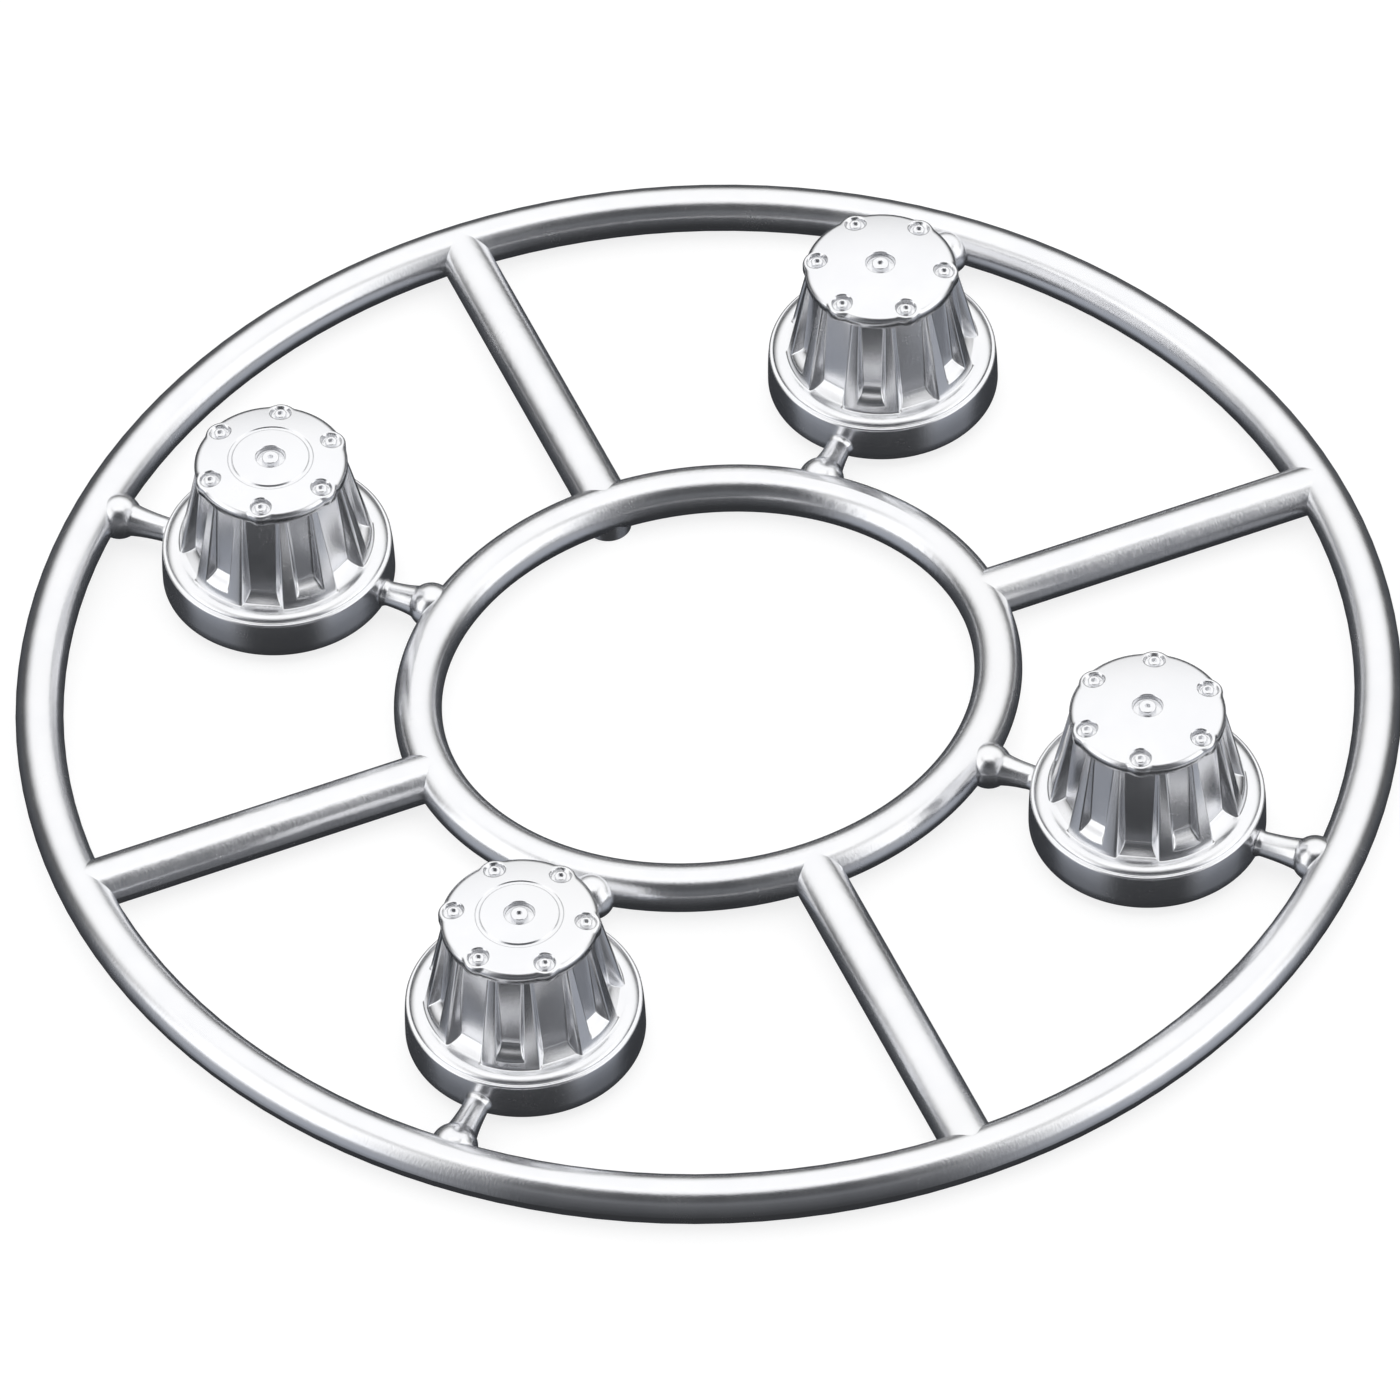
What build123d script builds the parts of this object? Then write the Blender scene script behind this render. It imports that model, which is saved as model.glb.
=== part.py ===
"""Moulded parts tree: two runner rings and four spokes that carry four ribbed hub covers.

Millimetres, +Z up. The origin is on the tree's axis, in the plane that the rings rest on.
Spoke 1 runs along +X and spoke 2 along +Y; the covers stand between the spokes.
"""

import os
from math import cos, hypot, radians, sin

from build123d import *

# Runner: rings, spokes, gates and the sprue stub
runner_radius = 1.8
outer_ring_radius = 50.0  # to the runner's centre line
inner_ring_long = 22.0  # half the oval centre line, along spokes 1 and 3
inner_ring_short = 19.8  # half the oval centre line, along spokes 2 and 4
parting_height = runner_radius
spoke_half_width = 1.95
spoke_half_height = 1.78
gate_radius = 0.92
gate_tip_radius = 0.75
gate_taper = 0.9  # length over which a gate narrows to its tip
gate_clearance = 0.06  # left between a cut gate's tip and the flange
flare_radius = 1.3  # of a gate where it runs into its boss
flare_length = 1.6
boss_radius = 1.75
boss_inset = 1.7  # from a ring's centre line to a boss's centre, towards the cover
boss_bury = 1.0  # from a boss's centre to the gate's end inside the boss, before trimming
stub_radius = 1.75

# Hub cover, heights above the underside of its flange
cover_pitch_radius = 35.1
cover_height = 12.5
cover_lift = 0.9  # flange underside above the plane that the rings rest on
flange_radius = 8.8
flange_wall = 3.1
ledge_radius = 8.35
step_height = 0.12
shoulder_start = (-0.75, 0.66)  # direction in which the convex shoulder leaves the step
foot_radius = 7.35
foot_height = 3.5
face_radius = 5.75
crown_radius = 35.6  # of the face's slight dome
rim_fillet = 0.3
cap_underside = 11.15
socket_radius = 7.3
socket_depth = 2.6
well_radius = 4.3
well_roof = 11.0

# Ribbed cone and the twelve recesses in it. A recess is given by its flat floor, as (radius,
# height) at the crease and at the top, and by how fast its sides open towards the outside.
cone_top_radius = 5.72
flute_crease = (6.1, 3.8)
flute_top = (5.35, 11.05)
flute_half_widths = (1.0, 1.2)  # of the floor, at the crease and at the top
flute_draft = 0.45
flute_ramp = 0.34
pocket_crease = (6.13, 5.0)
pocket_top = (5.4, 10.95)
pocket_half_widths = (0.73, 0.9)
pocket_draft = 0.36
pocket_ramp = 0.78
recess_reach = 2.0  # from a floor out past the cone's surface

# Screws on the face
bolt_count = 6
bolt_pitch = 360 / bolt_count
bolt_circle_radius = 4.85
bolt_offset = -15.0  # degrees from the line of the cover's gates
lobe_radius = 1.1
lobe_fillet = 0.6  # where a lobe runs into the face's round edge
seat_radius = 0.75
seat_floor = 11.75
head_radius = 0.45
head_height = 0.36
socket_across = 0.42
socket_sink = 0.2
centre_seat_radius = 1.1
centre_seat_floor = 12.0
centre_head_radius = 0.65
centre_head_height = 0.44
head_fillet = 0.1

# Plain round groove on the faces of two covers
groove_radius = 3.05
groove_width = 0.3
groove_floor = 12.25
grooved_covers = (2, 3)

quarters = (1, 2, 3, 4)


def direction(angle):
    """Unit vector at an angle in degrees from +X, level with the rings."""
    return Vector(cos(radians(angle)), sin(radians(angle)), 0)


def spoke_angle(number):
    return 90 * (number - 1)


def cover_angle(number):
    return 90 * (number - 1) + 45


def across(angle, radius):
    """Plane square to a radial line, at a radius, at the height of the parting plane."""
    origin = direction(angle) * radius + Vector(0, 0, parting_height)
    return Plane(origin=origin, x_dir=direction(angle + 90), z_dir=direction(angle))


def write(piece, name):
    piece.part.label = name
    export_step(piece.part, f"parts/{name}.step")


# Rings ---------------------------------------------------------------------

def make_outer_ring():
    with BuildPart() as ring:
        with BuildSketch(Plane.XZ):
            with Locations((outer_ring_radius, parting_height)):
                Circle(runner_radius)
        revolve(axis=Axis.Z)
    return ring


def make_inner_ring():
    with BuildPart() as ring:
        with BuildLine(Plane.XY.offset(parting_height)) as centre_line:
            EllipticalCenterArc((0, 0), inner_ring_long, inner_ring_short, arc_size=360)
        with BuildSketch(Plane(centre_line.line @ 0, z_dir=centre_line.line % 0)):
            Circle(runner_radius)
        sweep(path=centre_line.line)
    return ring


def inner_ring_radius(angle):
    """Distance from the axis to the inner ring's centre line at an angle."""
    along = cos(radians(angle)) / inner_ring_long
    sideways = sin(radians(angle)) / inner_ring_short
    return (along**2 + sideways**2) ** -0.5


# Runner pieces between the rings --------------------------------------------

def make_spoke(number, rings):
    angle = spoke_angle(number)
    start = inner_ring_radius(angle)
    with BuildPart() as spoke:
        with BuildSketch(across(angle, start)):
            Ellipse(spoke_half_width, spoke_half_height)
        extrude(amount=outer_ring_radius - start)
        for ring in rings:
            add(ring.part, mode=Mode.SUBTRACT)
    return spoke


def make_boss(angle, radius, ring):
    """Ball at the end of a gate, trimmed to the ring that it grows from."""
    with BuildPart() as boss:
        with Locations(across(angle, radius)):
            Sphere(boss_radius)
        add(ring.part, mode=Mode.SUBTRACT)
    return boss


def make_gate(angle, boss_centre, outward, boss):
    """Thin round runner from a boss to the cover's flange, flared at the boss end."""
    tip = cover_pitch_radius + outward * (flange_radius + gate_clearance)
    neck = tip + outward * gate_taper
    buried_end = boss_centre - outward * boss_bury
    flare_start = buried_end - outward * flare_length
    with BuildPart() as gate:
        with BuildSketch(across(angle, tip)):
            Circle(gate_tip_radius)
        with BuildSketch(across(angle, neck)):
            Circle(gate_radius)
        loft()
        with BuildSketch(across(angle, neck)):
            Circle(gate_radius)
        extrude(amount=flare_start - neck)
        with BuildSketch(across(angle, flare_start)):
            Circle(gate_radius)
        with BuildSketch(across(angle, buried_end)):
            Circle(flare_radius)
        loft()
        add(boss.part, mode=Mode.SUBTRACT)
    return gate


def make_stub(neighbours):
    """Round stub that stands under the inner ring where spoke 2 meets it."""
    with BuildPart() as stub:
        with BuildSketch(Plane.XY):
            with Locations((0, inner_ring_short)):
                Circle(stub_radius)
        extrude(amount=parting_height)
        for neighbour in neighbours:
            add(neighbour.part, mode=Mode.SUBTRACT)
    return stub


# Hub cover -----------------------------------------------------------------

def cover_place(number):
    """Frame of a cover: origin under its face, x pointing away from the tree's axis."""
    angle = cover_angle(number)
    origin = direction(angle) * cover_pitch_radius + Vector(0, 0, cover_lift)
    return Plane(origin=origin, x_dir=direction(angle), z_dir=(0, 0, 1))


def side_plane(place, angle):
    """Upright plane through the cover's axis: x outward at an angle, y up."""
    turned = place.rotated((0, 0, angle))
    return Plane(place.origin, x_dir=turned.x_dir, z_dir=-turned.y_dir)


def recess_plane(place, angle, crease, top):
    """Plane of a recess's floor: origin at the crease, x sideways, y up the floor, z outward."""
    upright = side_plane(place, angle)
    lower = upright.from_local_coords(crease)
    upper = upright.from_local_coords(top)
    sideways = Vector(0, 0, 1).cross(upright.x_dir)
    return Plane(lower, x_dir=sideways, z_dir=sideways.cross(upper - lower))


def make_recess(place, angle, crease, top, half_widths, draft, ramp):
    """Cutter that opens outward from a flat floor: sides by draft, lower end by ramp."""
    floor = recess_plane(place, angle, crease, top)
    length = hypot(top[0] - crease[0], top[1] - crease[1])
    low, high = half_widths
    with BuildPart() as recess:
        for offset in (0, recess_reach):
            side = draft * offset
            with BuildSketch(floor.offset(offset)):
                Polygon(
                    (-low - side, -ramp * offset),
                    (low + side, -ramp * offset),
                    (high + side, length + side),
                    (-high - side, length + side),
                    align=None,
                )
        loft()
    return recess


def make_cone(place):
    """Tapered body between the flange and the cap, with six flutes and six framed pockets."""
    with BuildPart() as cone:
        with BuildSketch(side_plane(place, 0)):
            Polygon(
                (0, foot_height),
                (foot_radius, foot_height),
                (cone_top_radius, cap_underside),
                (0, cap_underside),
                align=None,
            )
        revolve(axis=Axis(place.origin, (0, 0, 1)))
        for turn in range(bolt_count):
            under_bolt = bolt_offset + bolt_pitch * turn
            flute = make_recess(
                place, under_bolt, flute_crease, flute_top,
                flute_half_widths, flute_draft, flute_ramp,
            )
            pocket = make_recess(
                place, under_bolt + bolt_pitch / 2, pocket_crease, pocket_top,
                pocket_half_widths, pocket_draft, pocket_ramp,
            )
            add(flute.part, mode=Mode.SUBTRACT)
            add(pocket.part, mode=Mode.SUBTRACT)
    return cone


def make_cap(place):
    """Slightly domed cap with a lobe round each screw and a rolled rim."""
    with BuildPart() as cap:
        with BuildSketch(place.offset(cap_underside)):
            Circle(face_radius)
            with PolarLocations(bolt_circle_radius, bolt_count, start_angle=bolt_offset):
                Circle(lobe_radius)
        extrude(amount=cover_height - cap_underside)
        fillet(cap.edges().filter_by(Axis.Z), radius=lobe_fillet)
        with Locations(place.offset(cover_height - crown_radius)):
            Sphere(crown_radius, mode=Mode.INTERSECT)
        rim = cap.faces().sort_by(Axis.Z)[-1].outer_wire().edges()
        fillet(rim, radius=rim_fillet)
    return cap


def make_cover(number):
    place = cover_place(number)
    cone = make_cone(place)
    cap = make_cap(place)
    with BuildPart() as cover:
        with BuildSketch(side_plane(place, 0)):
            with BuildLine():
                Polyline(
                    (0, 0),
                    (flange_radius, 0),
                    (flange_radius, flange_wall),
                    (ledge_radius, flange_wall),
                    (ledge_radius, flange_wall + step_height),
                )
                TangentArc(
                    (ledge_radius, flange_wall + step_height),
                    (foot_radius, foot_height),
                    tangent=shoulder_start,
                )
                Polyline((foot_radius, foot_height), (0, foot_height), (0, 0))
            make_face()
        revolve(axis=Axis(place.origin, (0, 0, 1)))
        add(cone.part)
        add(cap.part)
        # Screw seats
        with BuildSketch(place.offset(seat_floor)):
            with PolarLocations(bolt_circle_radius, bolt_count, start_angle=bolt_offset):
                Circle(seat_radius)
        extrude(amount=cover_height - seat_floor, mode=Mode.SUBTRACT)
        with BuildSketch(place.offset(centre_seat_floor)):
            Circle(centre_seat_radius)
        extrude(amount=cover_height - centre_seat_floor, mode=Mode.SUBTRACT)
        if number in grooved_covers:
            with BuildSketch(place.offset(groove_floor)):
                Circle(groove_radius + groove_width / 2)
                Circle(groove_radius - groove_width / 2, mode=Mode.SUBTRACT)
            extrude(amount=cover_height - groove_floor, mode=Mode.SUBTRACT)
        # Hollow underside: a shallow socket and a well for the wheel nut
        with BuildSketch(place):
            Circle(socket_radius)
        extrude(amount=socket_depth, mode=Mode.SUBTRACT)
        with BuildSketch(place.offset(socket_depth)):
            Circle(well_radius)
        extrude(amount=well_roof - socket_depth, mode=Mode.SUBTRACT)
    return cover


def make_heads(seat_plane, centres, radius, height):
    """Socket-head screw heads that stand on their seats."""
    with BuildPart() as heads:
        with BuildSketch(seat_plane):
            with centres:
                Circle(radius)
        extrude(amount=height)
        fillet(heads.faces().group_by(Axis.Z)[-1].edges(), radius=head_fillet)
        with BuildSketch(seat_plane.offset(height)):
            with centres:
                RegularPolygon(socket_across / 2, 6, major_radius=False)
        extrude(amount=-socket_sink, mode=Mode.SUBTRACT)
    return heads


# The assembly --------------------------------------------------------------

os.makedirs("parts", exist_ok=True)

outer_ring = make_outer_ring()
inner_ring = make_inner_ring()
spokes = [make_spoke(quarter, (outer_ring, inner_ring)) for quarter in quarters]
write(outer_ring, "outer_ring")
write(inner_ring, "inner_ring")
write(make_stub((inner_ring, spokes[1])), "sprue_stub")

for quarter, spoke in zip(quarters, spokes):
    write(spoke, f"spoke_{quarter}")
    angle = cover_angle(quarter)
    outer_centre = outer_ring_radius - boss_inset
    inner_centre = inner_ring_radius(angle) + boss_inset
    outer_boss = make_boss(angle, outer_centre, outer_ring)
    inner_boss = make_boss(angle, inner_centre, inner_ring)
    write(outer_boss, f"outer_boss_{quarter}")
    write(inner_boss, f"inner_boss_{quarter}")
    write(make_gate(angle, outer_centre, 1, outer_boss), f"outer_gate_{quarter}")
    write(make_gate(angle, inner_centre, -1, inner_boss), f"inner_gate_{quarter}")

    write(make_cover(quarter), f"hub_cover_{quarter}")
    place = cover_place(quarter)
    bolt_centres = PolarLocations(bolt_circle_radius, bolt_count, start_angle=bolt_offset)
    face_heads = make_heads(
        place.offset(seat_floor), bolt_centres, head_radius, head_height
    )
    centre_head = make_heads(
        place.offset(centre_seat_floor),
        Locations((0, 0)),
        centre_head_radius,
        centre_head_height,
    )
    write(face_heads, f"face_screw_heads_{quarter}")
    write(centre_head, f"centre_screw_head_{quarter}")
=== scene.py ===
"""Satin-chrome moulded parts tree with four ribbed hub covers, on a pale floor."""

from math import asin, atan2, cos, degrees, hypot, pi, radians, sin, sqrt

import bpy
from mathutils import Matrix, Vector


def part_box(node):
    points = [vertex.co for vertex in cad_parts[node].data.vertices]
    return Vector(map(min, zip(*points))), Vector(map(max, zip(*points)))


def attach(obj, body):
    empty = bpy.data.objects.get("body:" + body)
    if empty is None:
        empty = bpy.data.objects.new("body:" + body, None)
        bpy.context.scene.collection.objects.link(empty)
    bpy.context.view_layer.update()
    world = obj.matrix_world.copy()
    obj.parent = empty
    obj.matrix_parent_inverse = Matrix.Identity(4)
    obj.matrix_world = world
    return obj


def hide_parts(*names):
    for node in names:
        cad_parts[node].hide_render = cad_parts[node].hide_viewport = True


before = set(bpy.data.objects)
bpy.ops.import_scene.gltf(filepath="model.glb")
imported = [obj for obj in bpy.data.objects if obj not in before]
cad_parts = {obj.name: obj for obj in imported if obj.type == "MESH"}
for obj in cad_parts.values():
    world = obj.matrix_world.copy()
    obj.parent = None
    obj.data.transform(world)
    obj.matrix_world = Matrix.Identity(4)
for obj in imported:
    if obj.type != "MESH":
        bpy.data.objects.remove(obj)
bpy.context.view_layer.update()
scene = bpy.context.scene

MM = 0.001
QUARTERS = (1, 2, 3, 4)

# Runner, in millimetres
PARTING_HEIGHT = 1.8
OUTER_RADIUS = 50.0  # of the outer ring's centre line
GATE_NECK = 0.94
GATE_FOOT = 1.08  # where a gate meets the flange
FOOT_LENGTH = 0.4
CUT_GAP = 0.02  # left between a gate's foot and the flange
BOSS_RADIUS = 1.75
BOSS_INSET = 1.7  # from a ring's centre line to a boss's centre
FLARE_RADIUS = 1.22  # of a gate where it runs into its boss
GATE_SEGMENTS = 48

# Hub cover, in millimetres from its own axis and from the underside of its flange
COVER_HEIGHT = 12.5
CROWN_RADIUS = 35.6  # of the face's slight dome
FLANGE_RADIUS = 8.8
FLANGE_WALL = 3.1
FLANGE_ROUND = 0.2
FLANGE_DRAFT = 0.12  # by which the flange's wall leans in at its top
LEDGE_RADIUS = 8.35
STEP_HEIGHT = 0.12
SHOULDER_START = (-0.75, 0.66)
FOOT_RADIUS = 7.35
FOOT_HEIGHT = 3.5
CONE_TOP_RADIUS = 5.72
CAP_UNDERSIDE = 11.15
FACE_RADIUS = 5.75
RIM_WIDTH = 0.5  # of the rolled rim, seen from above
RIM_DROP = 0.34
LOBE_RADIUS = 1.1
LOBE_ROUND = 0.12  # drop of the face's edge on a lobe
LOBE_BLEND = 0.16  # rounding of the corner between a lobe and the round rim
LOBE_MARGIN = 0.1  # past a lobe's edge, where the rim starts to flatten
LOBE_FADE = 0.25
BOLT_COUNT = 6
BOLT_PITCH = 360 / BOLT_COUNT
BOLT_CIRCLE = 4.85
BOLT_OFFSET = -15.0  # degrees from the line of the cover's gates
SEAT_RADIUS = 0.75
SEAT_FLOOR = 11.75
CENTRE_SEAT_RADIUS = 1.1
CENTRE_SEAT_FLOOR = 12.0
SEAT_WALL = 0.1  # width of a seat's drafted wall
GROOVE_RADIUS = 3.05
GROOVE_WIDTH = 0.3
GROOVE_FLOOR = 12.25
GROOVED_COVERS = (2, 3)
SOCKET_RADIUS = 7.3
SOCKET_DEPTH = 2.6
WELL_RADIUS = 4.3
WELL_ROOF = 11.0
FLUTE_ROUND = 1.0  # where a flute opens in the wall
POCKET_ROUND = 0.42
CORNER_ROUND = 0.16  # between a recess's floor and its sides
FAR_OUT = 99.0  # radius that stands for no recess at all
RIB_MARGIN = 0.02  # degrees kept between a recess's corner and the rib beside it
EDGE = 0.06  # small bevel on the corners that aren't seen

# Studio, as multiples of white
WHITE = 1.1
GAP_DIM = 0.965  # share of the white that the gap for the camera takes away
GLOW = 0.07  # given back in the middle of the gap
SEAM_DIM = 0.55
BOUNCE_LOW, BOUNCE_HIGH = 0.036, 0.09  # of the dark below the horizon
BOUNCE_BESIDE = 0.34


# Camera --------------------------------------------------------------------

def aim_camera():
    """The photograph's view: 48 degrees above the horizon, from beyond spoke 4 towards spoke 2."""
    elevation = radians(47.73)
    heading = radians(69.06)
    roll = radians(-2.27)
    focal_pixels = 12000
    pixels_per_radius = 669.3
    image_size = 1400
    sensor = 36
    radius = OUTER_RADIUS * MM
    level_reach = cos(elevation)
    forward = Vector((cos(heading) * level_reach, sin(heading) * level_reach, -sin(elevation)))
    level = Vector((sin(heading), -cos(heading), 0))
    upward = level.cross(forward)
    right = level * cos(roll) + upward * sin(roll)
    up = upward * cos(roll) - level * sin(roll)
    distance = focal_pixels / pixels_per_radius * radius
    centre = Vector((0, 0, PARTING_HEIGHT * MM))
    aim = centre + right * (-0.0124 * radius) + up * (-0.0226 * radius)
    data = bpy.data.cameras.new("camera")
    data.sensor_width = sensor
    data.lens = sensor * focal_pixels / image_size
    data.clip_start = 0.01
    data.clip_end = 20
    camera = bpy.data.objects.new("camera", data)
    scene.collection.objects.link(camera)
    axes = Matrix((right, up, -forward)).transposed().to_4x4()
    camera.matrix_world = Matrix.Translation(aim - forward * distance) @ axes
    scene.camera = camera
    return heading


# Node trees ------------------------------------------------------------------

class Nodes:
    """Small helper that adds and links nodes in one tree."""

    def __init__(self, tree):
        self.tree = tree

    def add(self, kind, **settings):
        node = self.tree.nodes.new(kind)
        for name, value in settings.items():
            setattr(node, name, value)
        return node

    def link(self, source, target):
        self.tree.links.new(source, target)

    def math(self, operation, first, second=None, third=None):
        """A math node's output; each input is a number or another node's output."""
        node = self.add("ShaderNodeMath", operation=operation)
        for socket, value in zip(node.inputs, (first, second, third)):
            if value is None:
                continue
            if isinstance(value, (int, float)):
                socket.default_value = value
            else:
                self.link(value, socket)
        return node.outputs[0]

    def remap(self, value, low, high, start=0.0, end=1.0, interpolation="SMOOTHSTEP"):
        """start below low, end above high, and between them in between."""
        node = self.add("ShaderNodeMapRange", interpolation_type=interpolation)
        self.link(value, node.inputs["Value"])
        node.inputs["From Min"].default_value = low
        node.inputs["From Max"].default_value = high
        node.inputs["To Min"].default_value = start
        node.inputs["To Max"].default_value = end
        return node.outputs["Result"]

    def above(self, z, low, high, start=0.0, end=1.0):
        """start below one elevation and end above another, both in degrees."""
        return self.remap(z, sin(radians(low)), sin(radians(high)), start, end)

    def within(self, toward, outer, inner):
        """0 beyond one azimuth from the viewer and 1 inside another, both in degrees."""
        return self.remap(toward, cos(radians(outer)), cos(radians(inner)))

    def less(self, value):
        """1 minus a value."""
        return self.math("SUBTRACT", 1, value)

    def times(self, first, second):
        return self.math("MULTIPLY", first, second)

    def mix(self, factor, first, second):
        node = self.add("ShaderNodeMix", data_type="RGBA")
        self.link(factor, node.inputs["Factor"])
        # The colour sockets come after those for plain numbers and vectors
        for socket, colour in ((node.inputs[6], first), (node.inputs[7], second)):
            if isinstance(colour, tuple):
                socket.default_value = (*colour, 1)
            else:
                self.link(colour, socket)
        return node.outputs[2]

    def noise(self, place, scale, detail=2.0, roughness=0.5):
        node = self.add("ShaderNodeTexNoise")
        self.link(place, node.inputs["Vector"])
        node.inputs["Scale"].default_value = scale
        node.inputs["Detail"].default_value = detail
        node.inputs["Roughness"].default_value = roughness
        return node.outputs["Fac"]

    def stretch(self, place, scale):
        node = self.add("ShaderNodeMapping")
        self.link(place, node.inputs["Vector"])
        node.inputs["Scale"].default_value = scale
        return node.outputs["Vector"]


# Light and floor ---------------------------------------------------------------

def light_studio(heading):
    """White tent overhead with a gap for the camera, a white box at each side, dark below.

    toward is the cosine of the azimuth from the viewer, aside its sine to the right, and z the
    sine of the elevation.
    """
    world = bpy.data.worlds.new("studio")
    scene.world = world
    world.use_nodes = True
    world.node_tree.nodes.clear()
    tree = Nodes(world.node_tree)
    place = tree.add("ShaderNodeTexCoord")
    split = tree.add("ShaderNodeSeparateXYZ")
    tree.link(place.outputs["Generated"], split.inputs[0])
    x, y, z = split.outputs
    toward = tree.math("ADD", tree.times(x, -cos(heading)), tree.times(y, -sin(heading)))
    aside = tree.math("ADD", tree.times(x, sin(heading)), tree.times(y, -cos(heading)))
    level = tree.math("SQRT", tree.math("MAXIMUM", tree.less(tree.times(z, z)), 0.0001))
    toward = tree.math("DIVIDE", toward, level)
    aside = tree.math("DIVIDE", aside, level)

    # The tent's white wall starts lower on the right than on the left
    wall_foot = sin(radians(6))
    wall_top = tree.remap(aside, 0.2, 0.8, sin(radians(40)), sin(radians(33)))
    rise = tree.math("SUBTRACT", z, wall_foot)
    rise = tree.math("DIVIDE", rise, tree.math("SUBTRACT", wall_top, wall_foot))
    sides = tree.within(toward, 104, 84)
    boxes = tree.times(sides, tree.above(z, -5, 6))
    sky = tree.math("MAXIMUM", tree.remap(rise, 0, 1), boxes)

    # The gap on the viewer's side, with a faint glow in it
    facing = tree.within(toward, 54, 38)
    below_roof = tree.less(tree.above(z, 66, 73))
    glow = tree.times(tree.above(z, 8, 18), tree.less(tree.above(z, 26, 38)))
    dim = tree.math("MULTIPLY_ADD", glow, -GLOW, GAP_DIM)
    gap = tree.times(tree.times(below_roof, facing), dim)

    # The seam between the side boxes and the roof
    seam = tree.times(tree.above(z, 50, 56), tree.less(tree.above(z, 60, 67)))
    seam = tree.times(seam, tree.within(toward, 110, 75))
    wall = tree.less(tree.times(seam, SEAM_DIM))
    white = tree.times(tree.times(sky, wall), tree.less(gap))

    # What comes back from the table, more of it to the sides
    bounce = tree.above(z, -62, -5, BOUNCE_LOW, BOUNCE_HIGH)
    beside = tree.times(sides, tree.within(toward, 26, 50))
    beside = tree.times(beside, tree.above(z, -56, -30))
    bounce = tree.math("MULTIPLY_ADD", beside, BOUNCE_BESIDE, bounce)
    bounce = tree.times(bounce, tree.above(z, -2, 20, 1, 0.4))

    strength = tree.math("MULTIPLY_ADD", white, WHITE, bounce)
    tint = tree.mix(tree.above(z, -30, 20), (0.9, 0.95, 1.06), (1.0, 1.0, 1.0))
    tint = tree.mix(gap, tint, (0.96, 0.99, 1.06))
    background = tree.add("ShaderNodeBackground")
    tree.link(tint, background.inputs["Color"])
    tree.link(strength, background.inputs["Strength"])
    output = tree.add("ShaderNodeOutputWorld")
    tree.link(background.outputs[0], output.inputs["Surface"])


def lay_floor():
    """Pale floor that glows a little, so the shadows on it stay faint as in the photograph."""
    mesh = bpy.data.meshes.new("floor")
    half = 3.0
    corners = [(-half, -half, 0), (half, -half, 0), (half, half, 0), (-half, half, 0)]
    mesh.from_pydata(corners, [], [(0, 1, 2, 3)])
    floor = bpy.data.objects.new("floor", mesh)
    scene.collection.objects.link(floor)
    material = bpy.data.materials.new("floor_white")
    material.use_nodes = True
    shader = material.node_tree.nodes["Principled BSDF"]
    shader.inputs["Base Color"].default_value = (0.32, 0.32, 0.32, 1)
    shader.inputs["Roughness"].default_value = 0.9
    shader.inputs["Specular IOR Level"].default_value = 0
    shader.inputs["Emission Color"].default_value = (1, 1, 1, 1)
    shader.inputs["Emission Strength"].default_value = 0.8
    mesh.materials.append(material)
    floor.visible_glossy = False


# Chrome ------------------------------------------------------------------------

def make_chrome(name, streaks):
    """Satin plating over plastic: cloudy roughness, fine grain and faint upright draw lines."""
    material = bpy.data.materials.new(name)
    material.use_nodes = True
    tree = Nodes(material.node_tree)
    shader = material.node_tree.nodes["Principled BSDF"]
    place = tree.add("ShaderNodeTexCoord").outputs["Object"]
    cloud = tree.noise(place, 260, 4, 0.6)
    patch = tree.noise(place, 70, 2, 0.5)
    grain = tree.noise(place, 9000, 3, 0.7)
    draw = tree.noise(tree.stretch(place, (1, 1, 0.12)), 5200, 3, 0.6)
    colour = tree.mix(tree.remap(cloud, 0.3, 0.7), (0.85, 0.855, 0.875), (0.885, 0.888, 0.903))
    colour = tree.mix(tree.remap(patch, 0.5, 0.8, 0.0, 0.4), colour, (0.85, 0.848, 0.845))
    tree.link(colour, shader.inputs["Base Color"])
    roughness = tree.math("ADD", tree.remap(cloud, 0.3, 0.7, 0.18, 0.24, "LINEAR"),
                          tree.remap(grain, 0.3, 0.7, 0.0, 0.05, "LINEAR"))
    tree.link(roughness, shader.inputs["Roughness"])
    shader.inputs["Metallic"].default_value = 1
    height = tree.math("ADD", tree.times(grain, 0.12), tree.times(draw, streaks))
    height = tree.math("ADD", height, tree.times(cloud, 0.8))
    bump = tree.add("ShaderNodeBump")
    bump.inputs["Strength"].default_value = 0.35
    bump.inputs["Distance"].default_value = 0.00002
    tree.link(height, bump.inputs["Height"])
    tree.link(bump.outputs["Normal"], shader.inputs["Normal"])
    return material


# Mesh helpers --------------------------------------------------------------------

def smooth_max(first, second, width):
    """The larger value, rounded where the two are closer than width."""
    near = max(width - abs(first - second), 0) / width
    return max(first, second) + near * near * width / 4


def smooth_min(first, second, width):
    return -smooth_max(-first, -second, width)


def smooth_step(value):
    value = min(max(value, 0), 1)
    return value * value * (3 - 2 * value)


def spread(start, end, count, pull=0.0):
    """count values from start up to but without end; pull above 0 crowds them at both ends."""
    values = []
    for index in range(count):
        part = index / count
        part = part * (1 - pull) + (1 - cos(pi * part)) / 2 * pull
        values.append(start + (end - start) * part)
    return values


def arc(centre, radius, start, end, count):
    """Points of an arc, angles in degrees, both ends included."""
    turns = [radians(start + (end - start) * index / count) for index in range(count + 1)]
    return [(centre[0] + radius * cos(turn), centre[1] + radius * sin(turn)) for turn in turns]


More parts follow.
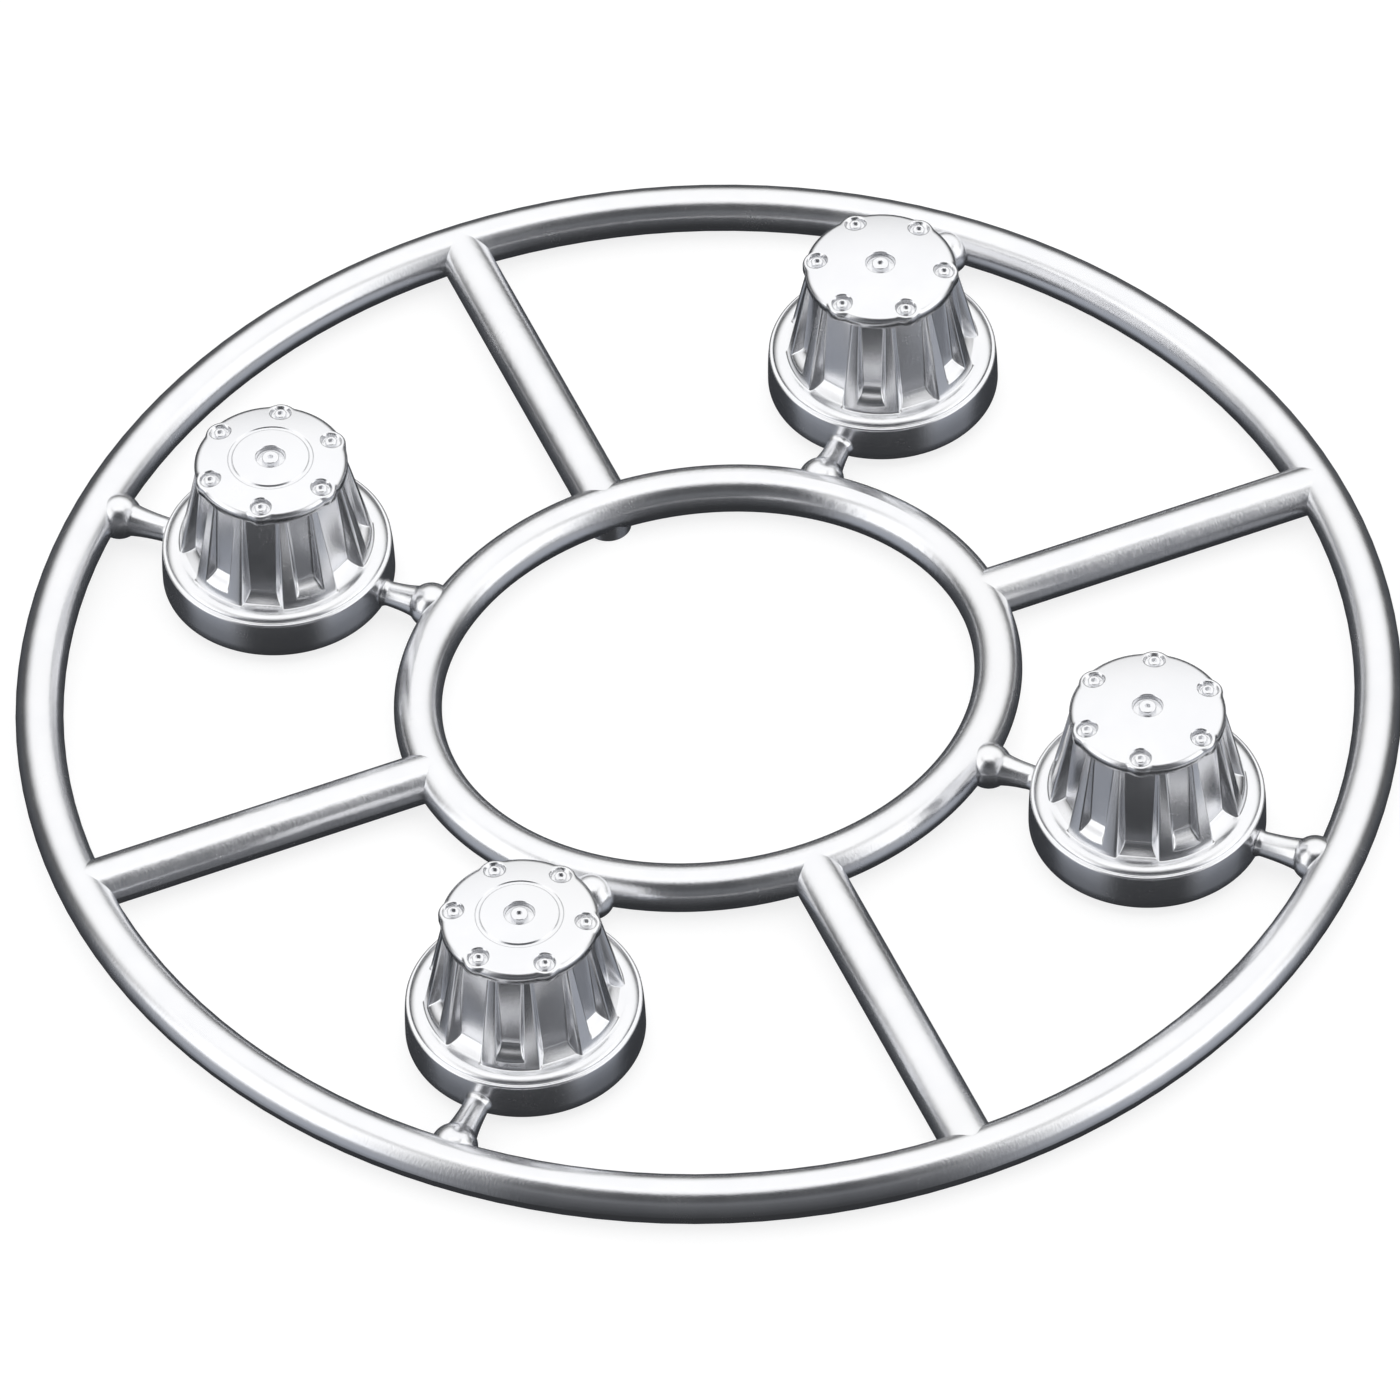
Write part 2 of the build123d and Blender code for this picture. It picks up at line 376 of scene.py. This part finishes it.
def lathe_mesh(name, columns, axis_ends, matrix, material):
    """Closed skin through columns of points that run from one end of an axis to the other."""
    rows = len(columns[0])
    count = len(columns)
    points = [matrix @ Vector(point) for column in columns for point in column]
    first, last = count * rows, count * rows + 1
    points += [matrix @ Vector(end) for end in axis_ends]
    faces = []
    for index in range(count):
        here, there = index * rows, (index + 1) % count * rows
        faces.append((first, here, there))
        faces.extend((here + row, here + row + 1, there + row + 1, there + row)
                     for row in range(rows - 1))
        faces.append((last, there + rows - 1, here + rows - 1))
    mesh = bpy.data.meshes.new(name)
    mesh.from_pydata(points, [], faces)
    mesh.polygons.foreach_set("use_smooth", [True] * len(mesh.polygons))
    mesh.materials.append(material)
    piece = bpy.data.objects.new(name, mesh)
    scene.collection.objects.link(piece)
    return piece


# Hub cover -------------------------------------------------------------------------

def envelope(height):
    """Radius of the cone that the ribs' faces lie on."""
    part = (height - FOOT_HEIGHT) / (CAP_UNDERSIDE - FOOT_HEIGHT)
    return FOOT_RADIUS + (CONE_TOP_RADIUS - FOOT_RADIUS) * part


class Recess:
    """One flute or pocket: a flat floor, with sides and ends that open towards the outside.

    The floor runs from its crease to its top, both (radius, height). draft is how far a side or
    the upper end leans per unit of depth, and ramp the same for the lower end, which meets the
    floor in a curve crease_round wide. s is measured up the floor and d out from it; x is level,
    along the recess's middle.
    """

    def __init__(self, crease, top, half_widths, draft, ramp, crease_round):
        self.crease, self.top, self.half_widths = crease, top, half_widths
        self.draft, self.ramp, self.crease_round = draft, ramp, crease_round
        run, rise = top[0] - crease[0], top[1] - crease[1]
        self.length = hypot(run, rise)
        self.up = (run / self.length, rise / self.length)
        self.out = (self.up[1], -self.up[0])
        self.widen = (half_widths[1] - half_widths[0]) / self.length

    def at(self, s, d):
        """(x, height) of a point."""
        return (self.crease[0] + s * self.up[0] + d * self.out[0],
                self.crease[1] + s * self.up[1] + d * self.out[1])

    def local(self, x, height):
        """(s, d) of a point."""
        across, above = x - self.crease[0], height - self.crease[1]
        return across * self.up[0] + above * self.up[1], across * self.out[0] + above * self.out[1]

    def side(self, s, d):
        """Half the width at a point."""
        return self.half_widths[0] + self.widen * s + self.draft * d

    def rib_edge(self, height):
        """Angle at which a side wall meets the cone."""
        reach = envelope(height)
        x = reach
        for _ in range(8):  # settles to well under a micrometre
            y = self.side(*self.local(x, height))
            x = sqrt(reach**2 - y**2)
        return degrees(atan2(y, x))

    def floor_edge(self, height):
        """Angle of the corner between the floor, or the slope at its end, and a side wall."""
        lift = height - self.crease[1]
        if lift < 0:
            d = lift / (self.out[1] - self.ramp * self.up[1])
            s = -self.ramp * d
        elif height < self.top[1]:
            d, s = 0, lift / self.up[1]
        else:
            d = (height - self.top[1]) / (self.out[1] + self.draft * self.up[1])
            s = self.length + self.draft * d
        angle = degrees(atan2(self.side(s, d), self.at(s, d)[0]))
        return min(angle, self.rib_edge(height) - RIB_MARGIN)

    def radius(self, angle, height):
        """Radius of the recess's surface on a level line at an angle in degrees from its middle."""
        slope = abs(sin(radians(angle)) / cos(radians(angle)))
        zero_s, zero_d = self.local(0, height)
        floor = -zero_d / self.out[0]
        ramp = -(zero_s + self.ramp * zero_d) / (self.up[0] + self.ramp * self.out[0])
        top = self.length - zero_s + self.draft * zero_d
        top = -top / (self.draft * self.out[0] - self.up[0])
        gain = self.widen * self.up[0] + self.draft * self.out[0] - slope
        x = smooth_max(smooth_max(floor, ramp, self.crease_round), top, CORNER_ROUND)
        if gain < 0.02:  # the line runs clear of the recess
            return FAR_OUT
        side = -self.side(zero_s, zero_d) / gain
        return smooth_max(x, side, CORNER_ROUND) / cos(radians(angle))


# crease, top, half widths at both, draft, ramp, crease_round
FLUTE = Recess((6.1, 3.8), (5.35, 11.05), (1.0, 1.2), 0.45, 0.42, 1.8)
POCKET = Recess((6.13, 5.0), (5.4, 10.95), (0.73, 0.9), 0.36, 0.78, 0.4)


def wall_angles(height):
    """Column angles from the middle of a flute to the middle of a pocket, crowded at the edges."""
    half = BOLT_PITCH / 2
    flute_floor, flute_rib = FLUTE.floor_edge(height), FLUTE.rib_edge(height)
    pocket_rib, pocket_floor = half - POCKET.rib_edge(height), half - POCKET.floor_edge(height)
    angles = spread(0, flute_floor, 17)
    angles += spread(flute_floor, flute_rib, 6)
    angles += spread(flute_rib, pocket_rib, 12, 0.5)
    angles += spread(pocket_rib, pocket_floor, 6)
    angles += spread(pocket_floor, half, 8)
    return angles + [half]


def wall_radius(angle, height):
    """Radius of the ribbed wall at an angle from the middle of a flute."""
    pocket_angle = BOLT_PITCH / 2 - angle
    radius = smooth_min(envelope(height), FLUTE.radius(angle, height), FLUTE_ROUND)
    return smooth_min(radius, POCKET.radius(pocket_angle, height), POCKET_ROUND)


def cap_radius(angle):
    """Outline of the cap: round, with a lobe at each screw."""
    sideways = BOLT_CIRCLE * sin(radians(angle))
    lobe = BOLT_CIRCLE * cos(radians(angle)) + sqrt(max(LOBE_RADIUS**2 - sideways**2, 0))
    return smooth_max(FACE_RADIUS, lobe, LOBE_BLEND)


def bolt_distance(angle, radius):
    return hypot(radius * cos(radians(angle)) - BOLT_CIRCLE, radius * sin(radians(angle)))


def rim_height(angle, radius, outer):
    """Height of the rolled rim, which stays nearly flat on the lobes."""
    rolled = max(1 - (outer - radius) / RIM_WIDTH, 0)
    edge = max(1 - (outer - radius) / LOBE_ROUND, 0)
    low = dome(radius) - RIM_DROP * (1 - sqrt(max(1 - rolled**2, 0)))
    high = dome(radius) - LOBE_ROUND * (1 - sqrt(max(1 - edge**2, 0)))
    lobe = smooth_step((LOBE_RADIUS + LOBE_MARGIN - bolt_distance(angle, radius)) / LOBE_FADE)
    return low + (high - low) * lobe


def sunk(height, radius, angle, grooved):
    """Height of the face or rim after its seats and groove are pressed in."""
    from_bolt = bolt_distance(angle, radius)
    seat = smooth_step((SEAT_RADIUS + SEAT_WALL / 2 - from_bolt) / SEAT_WALL)
    height += (min(SEAT_FLOOR, height) - height) * seat
    seat = smooth_step((CENTRE_SEAT_RADIUS + SEAT_WALL / 2 - radius) / SEAT_WALL)
    height += (CENTRE_SEAT_FLOOR - height) * seat
    if grooved:
        from_groove = abs(radius - GROOVE_RADIUS)
        groove = smooth_step((GROOVE_WIDTH / 2 + SEAT_WALL / 2 - from_groove) / SEAT_WALL)
        height += (GROOVE_FLOOR - height) * groove
    return height


def face_rows():
    """Radii of the face's rows as far as the seats, crowded at the centre seat and the groove."""
    rows = [0.4, 0.8] + spread(1.0, 1.2, 7) + [1.22, 1.6, 2.1, 2.6]
    return rows + spread(2.8, 3.3, 14) + [3.32, 3.6, 3.9]


def wall_heights():
    """Heights of the wall's rows from the cap down to the foot, crowded at creases and sills."""
    heights = [11.15, 11.13] + spread(11.1, 10.8, 7)
    heights += spread(10.75, 5.25, 13) + spread(5.2, 4.2, 20) + spread(4.18, 3.95, 4)
    return heights + spread(3.93, FOOT_HEIGHT, 13)


def lower_outline():
    """From the ribs' foot over the shoulder, ledge and flange, and up into the hollow underside."""
    step_top = (LEDGE_RADIUS, FLANGE_WALL + STEP_HEIGHT)
    length = hypot(*SHOULDER_START)
    inward = (-SHOULDER_START[1] / length, SHOULDER_START[0] / length)
    chord = (FOOT_RADIUS - step_top[0], FOOT_HEIGHT - step_top[1])
    radius = hypot(*chord) ** 2 / (2 * (chord[0] * inward[0] + chord[1] * inward[1]))
    centre = (step_top[0] + radius * inward[0], step_top[1] + radius * inward[1])
    start = degrees(atan2(FOOT_HEIGHT - centre[1], FOOT_RADIUS - centre[0]))
    end = degrees(atan2(step_top[1] - centre[1], step_top[0] - centre[0]))
    points = arc(centre, radius, start, end, 10)
    points += [(LEDGE_RADIUS, FLANGE_WALL + 0.03), (LEDGE_RADIUS + 0.03, FLANGE_WALL)]
    corner = (FLANGE_RADIUS - FLANGE_DRAFT - FLANGE_ROUND, FLANGE_WALL - FLANGE_ROUND)
    points += arc(corner, FLANGE_ROUND, 90, 0, 6)
    for part in (0.75, 0.5, 0.25):
        points.append((FLANGE_RADIUS - FLANGE_DRAFT * part**2, FLANGE_WALL * part))
    points += arc((FLANGE_RADIUS - EDGE, EDGE), EDGE, 0, -90, 3)
    points += arc((SOCKET_RADIUS + EDGE, EDGE), EDGE, 270, 180, 3)
    points += [(SOCKET_RADIUS, SOCKET_DEPTH - EDGE), (SOCKET_RADIUS - EDGE, SOCKET_DEPTH)]
    points += arc((WELL_RADIUS + EDGE, SOCKET_DEPTH + EDGE), EDGE, 270, 180, 3)
    return points + [(WELL_RADIUS, WELL_ROOF - EDGE), (WELL_RADIUS - EDGE, WELL_ROOF)]


def dome(radius):
    return COVER_HEIGHT - CROWN_RADIUS + sqrt(CROWN_RADIUS**2 - radius**2)


def cover_half_column(index, lower, heights, angles, grooved):
    """(angle, radius, height) of one column's points, from the face to the roof of the well."""
    angle = angles[0][index]
    outer = cap_radius(angle)
    column = [(angle, radius, sunk(dome(radius), radius, angle, grooved)) for radius in face_rows()]
    inner = outer - RIM_WIDTH
    for radius in spread(4.0, inner, 28):
        column.append((angle, radius, sunk(dome(radius), radius, angle, grooved)))
    for part in spread(0.02, 1, 6) + [0.88, 0.94, 0.98, 1.0]:
        radius = inner + RIM_WIDTH * part
        height = rim_height(angle, radius, outer)
        column.append((angle, radius, sunk(height, radius, angle, grooved)))
    column.append((angle, outer, CAP_UNDERSIDE + EDGE))
    column.append((angle, outer - EDGE / 2, CAP_UNDERSIDE + EDGE / 4))
    for row, height in enumerate(heights):
        angle = angles[row][index]
        column.append((angle, wall_radius(angle, height), height))
    return column + [(angle, *point) for point in lower[1:]]


def make_cover(number, material):
    low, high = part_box(f"hub_cover_{number}")
    centre = Vector(((low[0] + high[0]) / 2, (low[1] + high[1]) / 2, low[2]))
    turn = atan2(centre.y, centre.x) + radians(BOLT_OFFSET)
    grooved = number in GROOVED_COVERS
    lower, heights = lower_outline(), wall_heights()
    angles = [wall_angles(height) for height in heights]
    half = [cover_half_column(index, lower, heights, angles, grooved)
            for index in range(len(angles[0]))]
    mirrored = [[(-angle, radius, height) for angle, radius, height in column]
                for column in half[-2:0:-1]]
    columns = []
    for bolt in range(BOLT_COUNT):
        for column in half + mirrored:
            # The mirrored columns belong to the next bolt
            base = BOLT_PITCH * (bolt + (column[0][0] < 0))
            points = []
            for angle, radius, height in column:
                turned = radians(base + angle)
                points.append((radius * cos(turned), radius * sin(turned), height))
            columns.append(points)
    matrix = Matrix.Translation(centre) @ Matrix.Rotation(turn, 4, "Z") @ Matrix.Scale(MM, 4)
    ends = ((0, 0, CENTRE_SEAT_FLOOR), (0, 0, WELL_ROOF))
    cover = lathe_mesh(f"cover_shell_{number}", columns, ends, matrix, material)
    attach(cover, f"cover_{number}")
    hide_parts(f"hub_cover_{number}")


# Gates -------------------------------------------------------------------------------

def gate_outline(length):
    """(distance from the flange, radius) along a gate, out to the far side of its boss."""
    ball_start = 180 - degrees(asin(FLARE_RADIUS / BOSS_RADIUS))
    ball_edge = length + BOSS_RADIUS * cos(radians(ball_start))
    points = []
    for part in spread(0, 1, 8):
        points.append((FOOT_LENGTH * part, GATE_NECK + (GATE_FOOT - GATE_NECK) * (1 - part) ** 2))
    for part in spread(0, 1, 20):
        swell = 0.5 * part + 0.5 * part**3
        radius = GATE_NECK + (FLARE_RADIUS - GATE_NECK) * swell
        points.append((FOOT_LENGTH + (ball_edge - FOOT_LENGTH) * part, radius))
    return points + arc((length, 0), BOSS_RADIUS, ball_start, 3, 24)


def make_gate(number, side, material):
    """Gate and ball-shaped boss in one smooth skin, with its foot cut to the flange's curve."""
    cover_low, cover_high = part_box(f"hub_cover_{number}")
    pitch = hypot(cover_low[0] + cover_high[0], cover_low[1] + cover_high[1]) / 2 / MM
    angle = atan2(cover_low[1] + cover_high[1], cover_low[0] + cover_high[0])
    if side == "outer":
        reach = OUTER_RADIUS - BOSS_INSET - pitch
        heading = angle
    else:
        reach = pitch - ring_radius(angle) - BOSS_INSET
        heading = angle + pi
    wall = FLANGE_RADIUS + CUT_GAP
    outline = gate_outline(reach - wall)
    columns = []
    for segment in range(GATE_SEGMENTS):
        turn = 2 * pi * segment / GATE_SEGMENTS
        column = []
        for distance, radius in outline:
            y, z = radius * cos(turn), radius * sin(turn)
            sagitta = wall - sqrt(wall**2 - y**2)
            fade = max(1 - distance / FOOT_LENGTH, 0)
            column.append((wall + distance - sagitta * fade, y, z))
        columns.append(column)
    ends = ((wall, 0, 0), (reach + BOSS_RADIUS, 0, 0))
    centre = Vector((cos(angle) * pitch, sin(angle) * pitch, PARTING_HEIGHT)) * MM
    matrix = Matrix.Translation(centre) @ Matrix.Rotation(heading, 4, "Z") @ Matrix.Scale(MM, 4)
    piece = lathe_mesh(f"{side}_gate_and_boss_{number}", columns, ends, matrix, material)
    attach(piece, "tree")
    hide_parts(f"{side}_gate_{number}", f"{side}_boss_{number}")


def ring_radius(angle):
    """Distance in millimetres from the axis to the oval inner ring's centre line at an angle."""
    low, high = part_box("inner_ring")
    tube = (high[2] - low[2]) / 2
    half_x, half_y = (high[0] - low[0]) / 2 - tube, (high[1] - low[1]) / 2 - tube
    return hypot(cos(angle) / half_x, sin(angle) / half_y) ** -1 / MM


heading = aim_camera()
light_studio(heading)
lay_floor()
scene.view_settings.view_transform = "Standard"
runner_chrome = make_chrome("runner_satin_chrome", 0.9)
cover_chrome = make_chrome("cover_satin_chrome", 0.5)
for name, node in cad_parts.items():
    on_cover = "cover" in name or "screw" in name
    for slot in node.material_slots:
        slot.material = cover_chrome if on_cover else runner_chrome
for number in QUARTERS:
    make_cover(number, cover_chrome)
    make_gate(number, "outer", runner_chrome)
    make_gate(number, "inner", runner_chrome)
